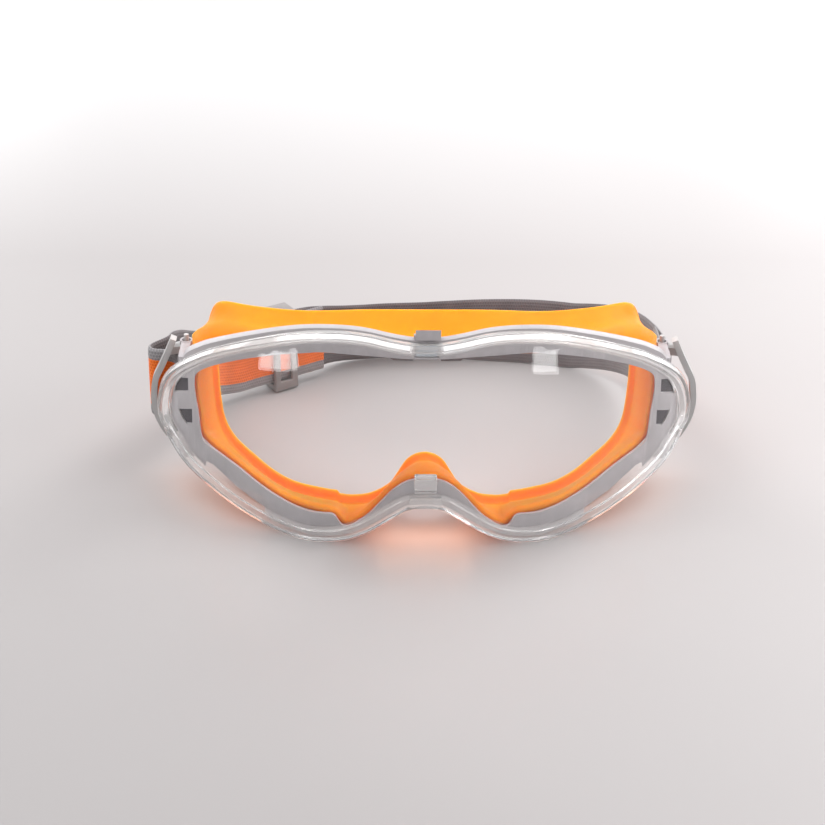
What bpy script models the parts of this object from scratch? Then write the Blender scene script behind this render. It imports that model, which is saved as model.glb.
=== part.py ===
"""Safety goggles: clear wrap lens, grey carrier frame, orange face seal,
strap clips on vertical hinge bars, woven headband with a slider.

Metres, +Z up. The goggles stand on the lens rim, the cheeks of the face seal
and the rear of the headband. The front looks along -Y, X runs ear to ear.
All sizes below are millimetres and are scaled by MM.
"""
import math

import bmesh
import bpy
from mathutils import Matrix, Vector

MM = 0.001

# ---------------------------------------------------------------- dimensions
Y_MID = 65.5            # front of the lens to the middle of the standing depth
LENS_R = 106.0          # plan radius of the lens front face
LENS_T = 2.0            # lens wall
BROW_PROUD = 1.6        # how far the thick brow beams stand out of the lens
RIM_PROUD = 0.7         # the bottom rim's step
FIT = 0.3               # gap between neighbouring pieces
FRAME_T = 2.6           # frame depth, along the radius
STRAP_W = 24.4          # webbing width
STRAP_T = 1.5           # webbing thickness
STRAP_Z = 20.2          # lower edge of the webbing at the clips
BAR_X = 76.5            # hinge bar of each clip
BAR_Y = 49.6
BAR_R = 1.15
BAR_HOLE_R = 1.42
RAIL_W = 2.1            # bowed outer post of each clip
RAIL_D = 4.6
SLIDER_AT = (-50.0, 113.0)   # middle of the strap slider, in plan
SLIDER_DIR = math.radians(33.0)
SLIDER_Z0 = 0.35
SLIDER_H = 29.6

# Half outlines in front view (x, z), from the nose up round the temple to the
# brow. Every one is mirrored about x = 0.
LENS_OUT = [(0, 15.3), (4.7, 14.9), (7.8, 13.0), (11, 10.7), (14, 8.4), (17.1, 6.2),
            (20.3, 4.3), (23.4, 2.75), (26.5, 1.65), (29.7, 0.9), (32.9, 0.4), (36.1, 0.0),
            (39.5, 0.05), (42.6, 0.45), (45.7, 1.0), (49, 1.75), (52.3, 2.7), (55.4, 3.65),
            (58.8, 4.8), (61.9, 5.95), (65.3, 7.3), (68.8, 8.95), (72.2, 10.5), (75.6, 12.3),
            (78.8, 14.6), (81.2, 17.3), (83.2, 20.0), (84.9, 22.8), (85.9, 25.7), (86.2, 29.1),
            (85.8, 33.1), (84.5, 38.1), (82, 43.4), (79.2, 47.2), (75.3, 51.4), (71.7, 54.6),
            (68.3, 57.5), (63.3, 60.8), (58.4, 63.6), (53.5, 66.1), (47.2, 68.9), (41, 71.2),
            (34.9, 72.8), (29, 73.7), (23.4, 74.1), (17.3, 73.8), (11, 72.6), (4.6, 71.6), (0, 71.4)]
# inner edge of the frame, where the seal starts
FRAME_IN = [(0, 25.0), (4.8, 24.3), (7.8, 22.6), (10.9, 19.7), (14, 15.8), (17.1, 11.85),
            (20.3, 8.7), (23.4, 6.4), (25.2, 6.0), (26.6, 7.2), (27.6, 9.4), (28.6, 10.1),
            (31.3, 9.7), (36.1, 9.55), (40.9, 10.5), (45.6, 12.2), (50.5, 14.4), (55.2, 17.0),
            (58.4, 18.8), (62.7, 20.6), (67.3, 22.3), (69.9, 23.4), (70.6, 26.8), (71.0, 32.5),
            (71.7, 37.5), (72.0, 42.2), (71.3, 46.6), (68, 50.2), (62.8, 53.9), (55.3, 58.1),
            (48.8, 60.9), (42.4, 63.2), (36.2, 64.85), (32, 65.9), (26, 66.3), (20, 66.4),
            (14, 66.4), (8, 66.2), (0, 66.0)]
# seal: matching stations on the frame side and on the face side
SEAL_FRONT = [(0, 25.0), (5, 24.2), (9.5, 21.0), (14.5, 15.2), (19, 9.9), (24.3, 6.5),
              (28.2, 9.6), (33, 9.9), (43, 11.3), (53, 15.8), (61, 19.9), (67.3, 22.5),
              (70.2, 24.8), (71.0, 31), (71.9, 39), (71.4, 46.4), (67.8, 50.4), (60, 55.5),
              (49, 60.8), (34, 65.3), (17, 66.4), (0, 66.0)]
SEAL_FACE = [(0, 20.6), (3.6, 18.9), (6.6, 14.4), (9.6, 8.4), (14.6, 2.7), (22.5, 0.3),
             (28.6, 0.1), (34, 0.1), (43.5, 0.6), (51.5, 3.1), (59, 7.7), (64.8, 13.1),
             (68.3, 20.0), (69.6, 30), (69.9, 40), (69.6, 50), (68.0, 58.6), (64.6, 63.4),
             (54.7, 64.8), (38, 67.0), (19, 70.1), (0, 71.0)]
# how far the seal's flange stands out behind the frame at each station
SEAL_FLANGE = [1.3, 1.3, 1.3, 1.3, 1.3, 1.3, 1.3, 1.3, 1.3, 1.3, 1.3, 1.4,
               1.8, 2.2, 2.4, 3.0, 5.0, 4.4, 2.8, 1.8, 1.6, 1.6]


def face_y(x):
    """Depth of the face side of the seal: a forehead and cheek curve."""
    return 26.0 + x * x / 190.0


# ------------------------------------------------------------------- helpers
for old in list(bpy.data.objects):
    bpy.data.objects.remove(old, do_unlink=True)

PARTS = bpy.data.collections.new("safety_goggles")
bpy.context.scene.collection.children.link(PARTS)
CUTTERS = bpy.data.collections.new("cutters")
bpy.context.scene.collection.children.link(CUTTERS)


def material(name, colour, rough, metallic=0.0, alpha=1.0):
    m = bpy.data.materials.new(name)
    m.use_nodes = True
    b = m.node_tree.nodes["Principled BSDF"]
    b.inputs["Base Color"].default_value = (*colour, 1.0)
    b.inputs["Roughness"].default_value = rough
    b.inputs["Metallic"].default_value = metallic
    b.inputs["Alpha"].default_value = alpha
    return m


CLEAR = material("clear_polycarbonate", (0.92, 0.94, 0.95), 0.03, alpha=0.3)
GREY = material("grey_plastic", (0.46, 0.47, 0.48), 0.38)
ORANGE = material("orange_elastomer", (1.0, 0.36, 0.06), 0.45)
WEB = material("webbing", (0.30, 0.28, 0.29), 0.85)


def smooth(points, per=4, closed=False):
    """Catmull-Rom curve through the points."""
    n = len(points)
    out = []
    last = n if closed else n - 1
    for i in range(last):
        if closed:
            p0, p1, p2, p3 = (Vector(points[(i + k) % n]) for k in (-1, 0, 1, 2))
        else:
            p0 = Vector(points[max(i - 1, 0)])
            p1 = Vector(points[i])
            p2 = Vector(points[i + 1])
            p3 = Vector(points[min(i + 2, n - 1)])
        for k in range(per):
            t = k / per
            out.append(0.5 * (2 * p1 + (p2 - p0) * t + (2 * p0 - 5 * p1 + 4 * p2 - p3) * t * t
                              + (3 * p1 - p0 - 3 * p2 + p3) * t ** 3))
    if not closed:
        out.append(Vector(points[-1]))
    return out


def whole(half, per=2):
    """A closed outline from a half that starts and ends on x = 0."""
    right = smooth(half, per)
    right[0].x = 0.0
    right[-1].x = 0.0
    left = [Vector((-p.x, p.y)) for p in reversed(right[1:-1])]
    return right + left


def on_table(loop):
    """Nothing reaches below the surface that the goggles stand on."""
    return [Vector((p.x, max(p.y, 0.0))) for p in loop]


def offset(loop, amount):
    """The loop moved sideways; amount(x, z) > 0 is outwards."""
    n = len(loop)
    out = []
    for i, p in enumerate(loop):
        t = (loop[(i + 1) % n] - loop[i - 1]).normalized()
        a = amount(p.x, p.y) if callable(amount) else amount
        out.append(Vector((p.x + t.y * a, p.y - t.x * a)))
    return out


def link(obj, coll, mat=None):
    coll.objects.link(obj)
    if mat:
        obj.data.materials.clear()
        obj.data.materials.append(mat)
    return obj


def flat(name, loops, low, high, matrix):
    """A flat outline with holes, extruded from low to high along its normal."""
    cu = bpy.data.curves.new(name, "CURVE")
    cu.dimensions = "2D"
    cu.fill_mode = "BOTH"
    cu.extrude = (high - low) * 0.5 * MM
    for loop in loops:
        sp = cu.splines.new("POLY")
        sp.points.add(len(loop) - 1)
        for q, p in zip(sp.points, loop):
            q.co = (p[0] * MM, p[1] * MM, 0.0, 1.0)
        sp.use_cyclic_u = True
    tmp = bpy.data.objects.new(name + "_outline", cu)
    CUTTERS.objects.link(tmp)
    tmp.matrix_world = matrix @ Matrix.Translation((0, 0, (low + high) * 0.5 * MM))
    bpy.context.view_layer.update()
    me = bpy.data.meshes.new_from_object(tmp.evaluated_get(bpy.context.evaluated_depsgraph_get()))
    me.transform(tmp.matrix_world)
    bpy.data.objects.remove(tmp, do_unlink=True)
    bm = bmesh.new()
    bm.from_mesh(me)
    bmesh.ops.remove_doubles(bm, verts=bm.verts, dist=1e-6)
    bmesh.ops.recalc_face_normals(bm, faces=bm.faces)
    bm.to_mesh(me)
    bm.free()
    obj = bpy.data.objects.new(name, me)
    CUTTERS.objects.link(obj)
    return obj


# local (x, y) of a flat outline to the world's (x, z), its thickness along -Y
FRONT = Matrix(((1, 0, 0, 0), (0, 0, -1, 0), (0, 1, 0, 0), (0, 0, 0, 1)))
PLAN = Matrix.Identity(4)


def front_prism(name, loops, y0=-20.0, y1=75.0):
    return flat(name, loops, -y1, -y0, FRONT)


def band(name, r_in, r_out, z0=-5.0, z1=85.0, half_angle=58.0, steps=56):
    """A wall that follows the lens plan curve between two radii."""
    outer, inner = [], []
    for i in range(steps + 1):
        a = math.radians(-half_angle + 2 * half_angle * i / steps)
        outer.append((r_out * math.sin(a), LENS_R - r_out * math.cos(a)))
        inner.append((r_in * math.sin(a), LENS_R - r_in * math.cos(a)))
    return flat(name, [outer + inner[::-1]], z0, z1, PLAN)


def combine(obj, other, how):
    mod = obj.modifiers.new(how.lower(), "BOOLEAN")
    mod.operation = how
    mod.solver = "EXACT"
    mod.object = other
    bpy.context.view_layer.update()
    me = bpy.data.meshes.new_from_object(obj.evaluated_get(bpy.context.evaluated_depsgraph_get()))
    obj.modifiers.clear()
    obj.data = me
    bpy.data.objects.remove(other, do_unlink=True)
    return obj


def box(name, lo, hi):
    bpy.ops.mesh.primitive_cube_add(size=1.0)
    obj = bpy.context.object
    obj.name = name
    for c in list(obj.users_collection):
        c.objects.unlink(obj)
    CUTTERS.objects.link(obj)
    size = [(b - a) * MM for a, b in zip(lo, hi)]
    mid = [(a + b) * 0.5 * MM for a, b in zip(lo, hi)]
    obj.data.transform(Matrix.Translation(mid) @ Matrix.Diagonal((*size, 1.0)))
    return obj


def rod(name, x, y, z0, z1, r, sides=16):
    bpy.ops.mesh.primitive_cylinder_add(vertices=sides, radius=r * MM, depth=(z1 - z0) * MM,
                                        location=(0, 0, 0))
    obj = bpy.context.object
    obj.name = name
    for c in list(obj.users_collection):
        c.objects.unlink(obj)
    CUTTERS.objects.link(obj)
    obj.data.transform(Matrix.Translation((x * MM, y * MM, (z0 + z1) * 0.5 * MM)))
    return obj


def tidy(obj):
    bm = bmesh.new()
    bm.from_mesh(obj.data)
    bmesh.ops.remove_doubles(bm, verts=bm.verts, dist=2e-6)
    bmesh.ops.dissolve_degenerate(bm, dist=2e-6, edges=bm.edges)
    bmesh.ops.dissolve_limit(bm, angle_limit=0.004, verts=bm.verts, edges=bm.edges)
    bmesh.ops.recalc_face_normals(bm, faces=bm.faces)
    bm.to_mesh(obj.data)
    bm.free()


def finish(obj, name, mat, pivot=(0.0, 0.0, 0.0), angle=35):
    """Name the piece, give it its origin, and move it into the goggles' frame."""
    obj.name = name
    obj.data.name = name
    for c in list(obj.users_collection):
        c.objects.unlink(obj)
    link(obj, PARTS, mat)
    p = Vector(pivot) * MM
    obj.data.transform(Matrix.Translation(-p))
    obj.location = p - Vector((0, Y_MID * MM, 0))
    obj.data.shade_smooth()
    obj.data.set_sharp_from_angle(angle=math.radians(angle))
    return obj


def mirrored(obj, name):
    me = obj.data.copy()
    me.transform(Matrix.Diagonal((-1, 1, 1, 1)))
    me.flip_normals()
    other = bpy.data.objects.new(name, me)
    CUTTERS.objects.link(other)
    return other


# ---------------------------------------------------------------------- lens
lens_loop = on_table(whole(LENS_OUT))


def brow_inner(x, z):
    """The brow beams are 4 mm deep and fade down the temples."""
    if z < 24:
        return -2.0
    return -2.0 - 1.9 * min(1.0, max(0.0, (z - 26.0) / 8.0))


lens = combine(band("lens", LENS_R - LENS_T, LENS_R + BROW_PROUD),
               front_prism("lens_outline", [lens_loop]), "INTERSECT")
# the window is sunk inside the brow beams and the bottom rim
sunk = combine(band("sunk", LENS_R, LENS_R + 9, z0=-9, z1=90),
               front_prism("window_outline", [offset(lens_loop, brow_inner)]), "INTERSECT")
lens = combine(lens, sunk, "DIFFERENCE")
# the rim is thinner below the temples
lens = combine(lens, band("rim_cut", LENS_R + RIM_PROUD, LENS_R + 9, z0=-9, z1=20.4, half_angle=70),
               "DIFFERENCE")
# the two beams stop short of the middle, where the frame's tab shows
gap = combine(band("beam_gap", LENS_R + 0.1, LENS_R + 9, z0=60, z1=90),
              box("beam_gap_sides", (-4.6, -12, 55), (4.6, 20, 95)), "INTERSECT")
lens = combine(lens, gap, "DIFFERENCE")
hook = box("hook", (-3.6, -3.4, 22.3), (3.6, 1.2, 27.4))
lens = combine(lens, hook, "UNION")
tidy(lens)

# --------------------------------------------------------------------- frame
r_back = LENS_R - LENS_T - FIT
r_face = r_back - FRAME_T


def frame_edge(x, z):
    """Above the temples the frame shows as a strip outside the lens."""
    temple = 3.9 * min(1.0, max(0.0, (abs(x) - 74.0) / 5.0))
    return -1.0 - temple + (2.1 + temple) * min(1.0, max(0.0, (z - 40.0) / 14.0))


frame_loop = offset(lens_loop, frame_edge)
frame_hole = whole(FRAME_IN)
frame = combine(band("frame", r_face, r_back),
                front_prism("frame_outline", [frame_loop, frame_hole]), "INTERSECT")


def sector(name, loop):
    return front_prism(name, [loop])


# two vent windows through each side panel, and an open cut under each cheek
for s in (-1, 1):
    upper = [(75.3, 39.3), (80.0, 36.6), (79.2, 39.6), (77.4, 42.2), (75.2, 43.6)]
    lower = [(74.6, 26.1), (77.1, 24.7), (78.4, 26.9), (79.3, 29.4), (74.5, 32.2)]
    for w in (upper, lower):
        frame = combine(frame, sector("vent", [(s * x, z) for x, z in w][::s]), "DIFFERENCE")
    slot = [(35.5, -4.0), (84.0, -4.0), (92.0, 8.0), (82.0, 14.0), (76.4, 17.6), (74.7, 17.2),
            (72.0, 15.5), (69.6, 14.2), (68.9, 16.5), (66.8, 16.3), (61.9, 13.5), (58.6, 11.3),
            (55.4, 9.8), (51.5, 7.9), (50.2, 7.2), (50.2, 5.0), (48.3, 3.5), (44.1, 2.6),
            (40.0, 1.9), (36.8, 1.4)]
    frame = combine(frame, sector("cheek_cut", [(s * x, z) for x, z in slot][::s]), "DIFFERENCE")
# narrow arms with an eye at the end hold the hinge bar of each clip
for s in (-1, 1):
    for z0, z1, foot, reach in ((48.2, 50.0, (37.0, 42.4, 44.2, 50.1), 1.9),
                                (14.0, 16.4, (35.6, 42.4, 13.9, 22.0), 3.9)):
        x0, x1 = sorted((s * (BAR_X - reach), s * (BAR_X + 1.9)))
        eye = rod("eye", s * BAR_X, BAR_Y, z0 - 0.1, z1 + 0.1, 2.5, 20)
        eye = combine(eye, box("arm", (x0, foot[0] + 1.0, z0), (x1, BAR_Y + 0.03, z1)), "UNION")
        eye = combine(eye, rod("hole", s * BAR_X, BAR_Y, z0 - 2, z1 + 2, BAR_HOLE_R), "DIFFERENCE")
        eye = combine(eye, box("foot", (x0 - 0.1, foot[0], foot[2]), (x1 + 0.1, foot[1], foot[3])),
                      "UNION")
        frame = combine(frame, eye, "UNION")
# centre brow tab over the gap between the lens beams, with three ribs under it
tab = box("tab", (-4.1, 1.2, 71.6), (4.1, 4.8, 75.6))
tab = combine(tab, box("tab_web", (-4.1, 2.7, 66.6), (4.1, 4.8, 72.0)), "UNION")
frame = combine(frame, tab, "UNION")
# the tab's front clears the lens
clear = band("tab_clear", r_back, r_back + 12, z1=72.4)
frame = combine(frame, clear, "DIFFERENCE")
tidy(frame)

# ----------------------------------------------------------------- face seal
front = whole(SEAL_FRONT, 3)
face = whole(SEAL_FACE, 3)
r_seal = r_face - FIT


def on_radius(p, r):
    return Vector((p.x, LENS_R - math.sqrt(r * r - p.x * p.x), p.y))


flange = [1.2] * len(front)
for i in range(len(front)):
    k = i / 3.0
    k = k if k <= 21 else 42 - k
    a = min(20, int(k))
    flange[i] = SEAL_FLANGE[a] + (SEAL_FLANGE[a + 1] - SEAL_FLANGE[a]) * (k - a)
f_out = offset(front, 1.2)
wide = [p + (q - p) * (b / 1.2) for p, q, b in zip(front, f_out, flange)]
f_in = offset(front, -1.0)
g_out = offset(face, 0.0)
g_step = offset(face, -1.0)


def lip(p):
    """The lip is narrow on the cheeks, and narrower still beside the nose."""
    low = 2.4 if abs(p.x) > 27.6 else 1.6
    return low + (3.6 - low) * min(1.0, max(0.0, (p.y - 1.0) / 9.0))


g_in = [p + (q - p) * lip(p) for p, q in zip(face, g_step)]
rows = []
for i in range(len(front)):
    fo, fi = on_radius(f_out[i], r_seal), on_radius(f_in[i], r_seal)
    saddle = max(0.0, 1.0 - abs(face[i].x) / 15.0) if face[i].y < 40 else 0.0
    fy = face_y(face[i].x) - 4.0 * saddle * saddle * (3 - 2 * saddle)
    go = Vector((g_out[i].x, fy, max(g_out[i].y, 0.0)))
    gi = Vector((g_in[i].x, fy + 0.6, g_in[i].y))
    base = Vector((g_out[i].x, fy - 2.2, max(g_out[i].y, 0.0)))
    w = on_radius(wide[i], r_seal)
    w = Vector((max(-74.1, min(74.1, w.x)), fo.y + 4.5, w.z))
    mo = w.lerp(base, 0.5) + (fi - fo).normalized() * 0.7
    inner_face = Vector((g_in[i].x, fy - 1.2, g_in[i].y)).lerp(Vector((g_out[i].x, fy - 1.2, g_out[i].y)), 0.15)
    elbow = Vector((g_in[i].x, fy - 2.6, g_in[i].y)).lerp(Vector((g_out[i].x, fy - 2.6, g_out[i].y)), 0.52)
    mi = fi.lerp(elbow, 0.5) + (fi - fo).normalized() * 0.9
    rows.append([fi, fo, w, mo, base, go, gi, inner_face, elbow, mi])
bm = bmesh.new()
grid = [[bm.verts.new(p * MM) for p in row] for row in rows]
n, k = len(rows), len(rows[0])
for i in range(n):
    for j in range(k):
        bm.faces.new((grid[i][j], grid[(i + 1) % n][j], grid[(i + 1) % n][(j + 1) % k],
                      grid[i][(j + 1) % k]))
bmesh.ops.recalc_face_normals(bm, faces=bm.faces)
me = bpy.data.meshes.new("face_seal")
bm.to_mesh(me)
bm.free()
seal = bpy.data.objects.new("face_seal", me)
CUTTERS.objects.link(seal)

# --------------------------------------------------------------- strap clips
# front view (x, z) of the bowed outer post, top to bottom
RAIL = [(80.9, 51.4), (82.6, 46.6), (85.1, 41.2), (87.2, 36.6), (87.9, 32.2), (88.0, 28.0),
        (87.2, 23.4), (85.4, 18.4), (83.6, 15.2)]
rail_mid = smooth(RAIL, 3)


def ribbon(path, width):
    left, right = [], []
    for i, p in enumerate(path):
        a = path[max(i - 1, 0)]
        b = path[min(i + 1, len(path) - 1)]
        t = (b - a).normalized()
        nrm = Vector((t.y, -t.x)) * width * 0.5
        left.append(p + nrm)
        right.append(p - nrm)
    return left + right[::-1]


def clip_solid(name):
    body = front_prism(name, [ribbon(rail_mid, RAIL_W)], 44.6, 44.6 + RAIL_D)
    for z0, z1 in ((45.2, 47.8), (16.8, 19.4)):
        # each cross bar runs from the post in to the hinge bar
        plan = [(BAR_X - 1.5, BAR_Y - 1.5), (BAR_X - 1.5, BAR_Y + 1.5), (BAR_X + 1.5, BAR_Y + 1.8),
                (82.2 if z0 > 40 else 84.6, 48.9), (82.2 if z0 > 40 else 84.6, 45.0)]
        body = combine(body, flat("bridge", [plan], z0, z1, PLAN), "UNION")
    body = combine(body, rod("bar", BAR_X, BAR_Y, 13.2, 50.6, BAR_R), "UNION")
    tidy(body)
    return body


clip_left = clip_solid("strap_clip_left")
clip_right = mirrored(clip_left, "strap_clip_right")


# ------------------------------------------------------------------ headband
def web_strip(name, plan, low):
    """Webbing on edge: a plan path (x, y), its lower edge height low(i, t)."""
    n = len(plan)
    total = [0.0]
    for a, b in zip(plan, plan[1:]):
        total.append(total[-1] + (b - a).length)
    bm = bmesh.new()
    ring = []
    for i, p in enumerate(plan):
        a, b = plan[max(i - 1, 0)], plan[min(i + 1, n - 1)]
        t = (b - a).normalized()
        nrm = Vector((t.y, -t.x)) * STRAP_T * 0.5
        z = low(total[i] / total[-1])
        ring.append([bm.verts.new(Vector((q.x, q.y, zz)) * MM)
                     for q, zz in ((p + nrm, z), (p + nrm, z + STRAP_W),
                                   (p - nrm, z + STRAP_W), (p - nrm, z))])
    for a, b in zip(ring, ring[1:]):
        for j in range(4):
            bm.faces.new((a[j], a[(j + 1) % 4], b[(j + 1) % 4], b[j]))
    bm.faces.new(ring[0])
    bm.faces.new(ring[-1][::-1])
    bmesh.ops.recalc_face_normals(bm, faces=bm.faces)
    me = bpy.data.meshes.new(name)
    bm.to_mesh(me)
    bm.free()
    obj = bpy.data.objects.new(name, me)
    CUTTERS.objects.link(obj)
    return obj


def ease(t):
    t = min(1.0, max(0.0, t))
    return t * t * (3 - 2 * t)


SD = Vector((math.cos(SLIDER_DIR), math.sin(SLIDER_DIR)))      # along the strap at the slider
SN = Vector((SD.y, -SD.x))                                     # to the head side
SC = Vector(SLIDER_AT)
WEB_LOW = 3.2           # lower edge height where the slider rides
LAYER = 1.55            # half the distance between the two layers there

# outer layer, from the adjustable loop round the back of the head to the fixed end
main_path = smooth([(-82.95, 63.7), (-81.2, 72), (-79.2, 82), (-76.2, 92), (-72.2, 98.2)]
                   + [tuple(SC + SD * s - SN * LAYER) for s in (-16, -6, 4, 14)]
                   + [(-29.5, 127.6), (-20, 131.0), (-8, 132.6), (8, 133.4), (24, 133.6), (40, 132.6),
                      (55, 129.2), (66, 122.6), (72.6, 112), (75.2, 100), (76.6, 88), (77.8, 76),
                      (78.6, 66), (79.0, 60.4)], 3)


def main_low(t):
    if t < 0.42:
        down = ease(t / 0.17)
        step = STRAP_Z + (WEB_LOW - STRAP_Z) * down
        return step - WEB_LOW * ease((t - 0.27) / 0.13)
    return STRAP_Z * ease((t - 0.70) / 0.30)


headband = web_strip("headband", main_path, main_low)

# the folded-back tail, on the head side of the outer layer
tail_path = smooth([(-75.6, 62.4), (-74.9, 72), (-74.0, 82), (-71.6, 90.5), (-67.6, 97.4)]
                   + [tuple(SC + SD * s + SN * LAYER) for s in (-14, -5, 4, 13, 16.5)], 3)


def tail_low(t):
    return STRAP_Z + (WEB_LOW - STRAP_Z) * ease(t / 0.58)


tail = web_strip("headband_tail", tail_path, tail_low)

# adjustable end: outer layer, open U-turn, through the slot and round the hinge bar
loop_right = smooth([(-83.2, 62.0), (-84.9, 59.6), (-87.2, 57.2), (-88.9, 54.8), (-88.5, 52.4),
                    (-86.6, 51.5), (-84.4, 51.4), (-82.0, 50.9), (-80.0, 49.4), (-79.0, 47.5),
                    (-77.4, 46.6), (-75.5, 46.9), (-74.3, 48.6), (-74.1, 51.2), (-74.5, 54.4),
                    (-75.2, 58.2), (-75.6, 61.8)], 2)
right_web = web_strip("headband_loop_right", loop_right, lambda t: STRAP_Z)

# fixed end: sewn to itself round the hinge bar
loop_left = smooth([(79.0, 59.8), (79.3, 55.6), (79.4, 52.2), (79.3, 49.6), (78.6, 47.5), (77.1, 46.6),
                     (75.4, 46.9), (74.3, 48.7), (74.1, 51.2), (74.8, 54.2), (76.6, 57.4), (77.1, 59.6)], 2)
left_web = web_strip("headband_loop_left", loop_left, lambda t: STRAP_Z)

# -------------------------------------------------------------------- slider
def slab(name, s0, s1, n0, n1, z0, z1):
    """A block along the strap direction: s along it, n to the head side."""
    pts = [SC + SD * s + SN * q for s, q in ((s0, n0), (s1, n0), (s1, n1), (s0, n1))]
    return flat(name, [pts], z0, z1, PLAN)


half = LAYER + STRAP_T * 0.5 + 0.45
slider = slab("strap_slider", -4.6, 4.6, -half - 1.5, half + 1.5, SLIDER_Z0, SLIDER_Z0 + SLIDER_H)
mid = 0.38
for n0, n1 in ((-half, -mid), (mid, half)):
    slider = combine(slider, slab("slot", -8, 8, n0, n1, SLIDER_Z0 + 2.1, SLIDER_Z0 + SLIDER_H - 2.1),
                     "DIFFERENCE")
# a window in each outer wall leaves two end bars
slider = combine(slider, slab("window", -2.3, 2.3, half - 1, half + 3, SLIDER_Z0 + 3.4,
                              SLIDER_Z0 + SLIDER_H - 3.4), "DIFFERENCE")
slider = combine(slider, slab("window", -2.3, 2.3, -half - 3, -half + 1, SLIDER_Z0 + 3.4,
                              SLIDER_Z0 + SLIDER_H - 3.4), "DIFFERENCE")
tidy(slider)

# --------------------------------------------------------- put it all in place
finish(lens, "lens", CLEAR, (0, 0, 24))
finish(frame, "frame", GREY)
finish(seal, "face_seal", ORANGE)
finish(clip_right, "strap_clip_right", GREY, (-BAR_X, BAR_Y, 34))
finish(clip_left, "strap_clip_left", GREY, (BAR_X, BAR_Y, 34))
finish(headband, "headband", WEB)
finish(tail, "headband_tail", WEB)
finish(right_web, "headband_loop_right", WEB, (-BAR_X, BAR_Y, 34))
finish(left_web, "headband_loop_left", WEB, (BAR_X, BAR_Y, 34))
finish(slider, "strap_slider", GREY, (SC.x, SC.y, SLIDER_Z0))
for o in list(CUTTERS.objects):
    o.hide_render = True
    o.display_type = "WIRE"
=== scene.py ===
import math

import bmesh
import bpy
import numpy as np
from mathutils import Matrix, Vector
from mathutils.geometry import delaunay_2d_cdt


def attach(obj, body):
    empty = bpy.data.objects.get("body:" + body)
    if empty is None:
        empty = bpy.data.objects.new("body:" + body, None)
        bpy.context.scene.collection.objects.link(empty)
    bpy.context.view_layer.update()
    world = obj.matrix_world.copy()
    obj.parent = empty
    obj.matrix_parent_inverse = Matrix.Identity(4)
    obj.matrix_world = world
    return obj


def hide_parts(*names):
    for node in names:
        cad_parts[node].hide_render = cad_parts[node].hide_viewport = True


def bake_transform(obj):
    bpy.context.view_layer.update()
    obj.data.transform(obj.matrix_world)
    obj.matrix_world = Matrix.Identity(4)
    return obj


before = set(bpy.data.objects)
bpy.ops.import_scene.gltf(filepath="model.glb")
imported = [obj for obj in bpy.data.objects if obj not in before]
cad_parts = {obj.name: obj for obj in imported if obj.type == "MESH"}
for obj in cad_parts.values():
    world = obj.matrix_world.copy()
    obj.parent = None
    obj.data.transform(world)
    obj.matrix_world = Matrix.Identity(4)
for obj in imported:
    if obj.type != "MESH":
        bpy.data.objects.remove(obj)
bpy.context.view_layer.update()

MM = 0.001
Y_MID = 65.5
LENS_R = 106.0
LENS_T = 2.0
FIT = 0.3
FRAME_T = 2.6
R_BACK = LENS_R - LENS_T - FIT
R_FACE = R_BACK - FRAME_T
STRAP_W = 24.4
STRAP_T = 1.5
STRAP_Z = 20.2
BAR_X, BAR_Y = 76.5, 49.6
SLIDER_AT = np.array([-50.0, 113.0])
SLIDER_DIR = math.radians(33.0)
SLIDER_Z0, SLIDER_H = 0.35, 29.6
WEB_LOW = 3.2
LAYER = 1.55

LENS_OUT = [(0, 15.3), (4.7, 14.9), (7.8, 13.0), (11, 10.7), (14, 8.4), (17.1, 6.2),
            (20.3, 4.3), (23.4, 2.75), (26.5, 1.65), (29.7, 0.9), (32.9, 0.4), (36.1, 0.0),
            (39.5, 0.05), (42.6, 0.45), (45.7, 1.0), (49, 1.75), (52.3, 2.7), (55.4, 3.65),
            (58.8, 4.8), (61.9, 5.95), (65.3, 7.3), (68.8, 8.95), (72.2, 10.5), (75.6, 12.3),
            (78.8, 14.6), (81.2, 17.3), (83.2, 20.0), (84.9, 22.8), (85.9, 25.7), (86.2, 29.1),
            (85.8, 33.1), (84.5, 38.1), (82, 43.4), (79.2, 47.2), (75.3, 51.4), (71.7, 54.6),
            (68.3, 57.5), (63.3, 60.8), (58.4, 63.6), (53.5, 66.1), (47.2, 68.9), (41, 71.2),
            (34.9, 72.8), (29, 73.7), (23.4, 74.1), (17.3, 73.8), (11, 72.6), (4.6, 71.6), (0, 71.4)]
FRAME_IN = [(0, 25.0), (4.8, 24.3), (7.8, 22.6), (10.9, 19.7), (14, 15.8), (17.1, 11.85),
            (20.3, 8.7), (23.4, 6.4), (25.2, 6.0), (26.6, 7.2), (27.6, 9.4), (28.6, 10.1),
            (31.3, 9.7), (36.1, 9.55), (40.9, 10.5), (45.6, 12.2), (50.5, 14.4), (55.2, 17.0),
            (58.4, 18.8), (62.7, 20.6), (67.3, 22.3), (69.9, 23.4), (70.6, 26.8), (71.0, 32.5),
            (71.7, 37.5), (72.0, 42.2), (71.3, 46.6), (68, 50.2), (62.8, 53.9), (55.3, 58.1),
            (48.8, 60.9), (42.4, 63.2), (36.2, 64.85), (32, 65.9), (26, 66.3), (20, 66.4),
            (14, 66.4), (8, 66.2), (0, 66.0)]
SEAL_FRONT = [(0, 25.0), (5, 24.2), (9.5, 21.0), (14.5, 15.2), (19, 9.9), (24.3, 6.5),
              (28.2, 9.6), (33, 9.9), (43, 11.3), (53, 15.8), (61, 19.9), (67.3, 22.5),
              (70.2, 24.8), (71.0, 31), (71.9, 39), (71.4, 46.4), (67.8, 50.4), (60, 55.5),
              (49, 60.8), (34, 65.3), (17, 66.4), (0, 66.0)]
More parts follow.
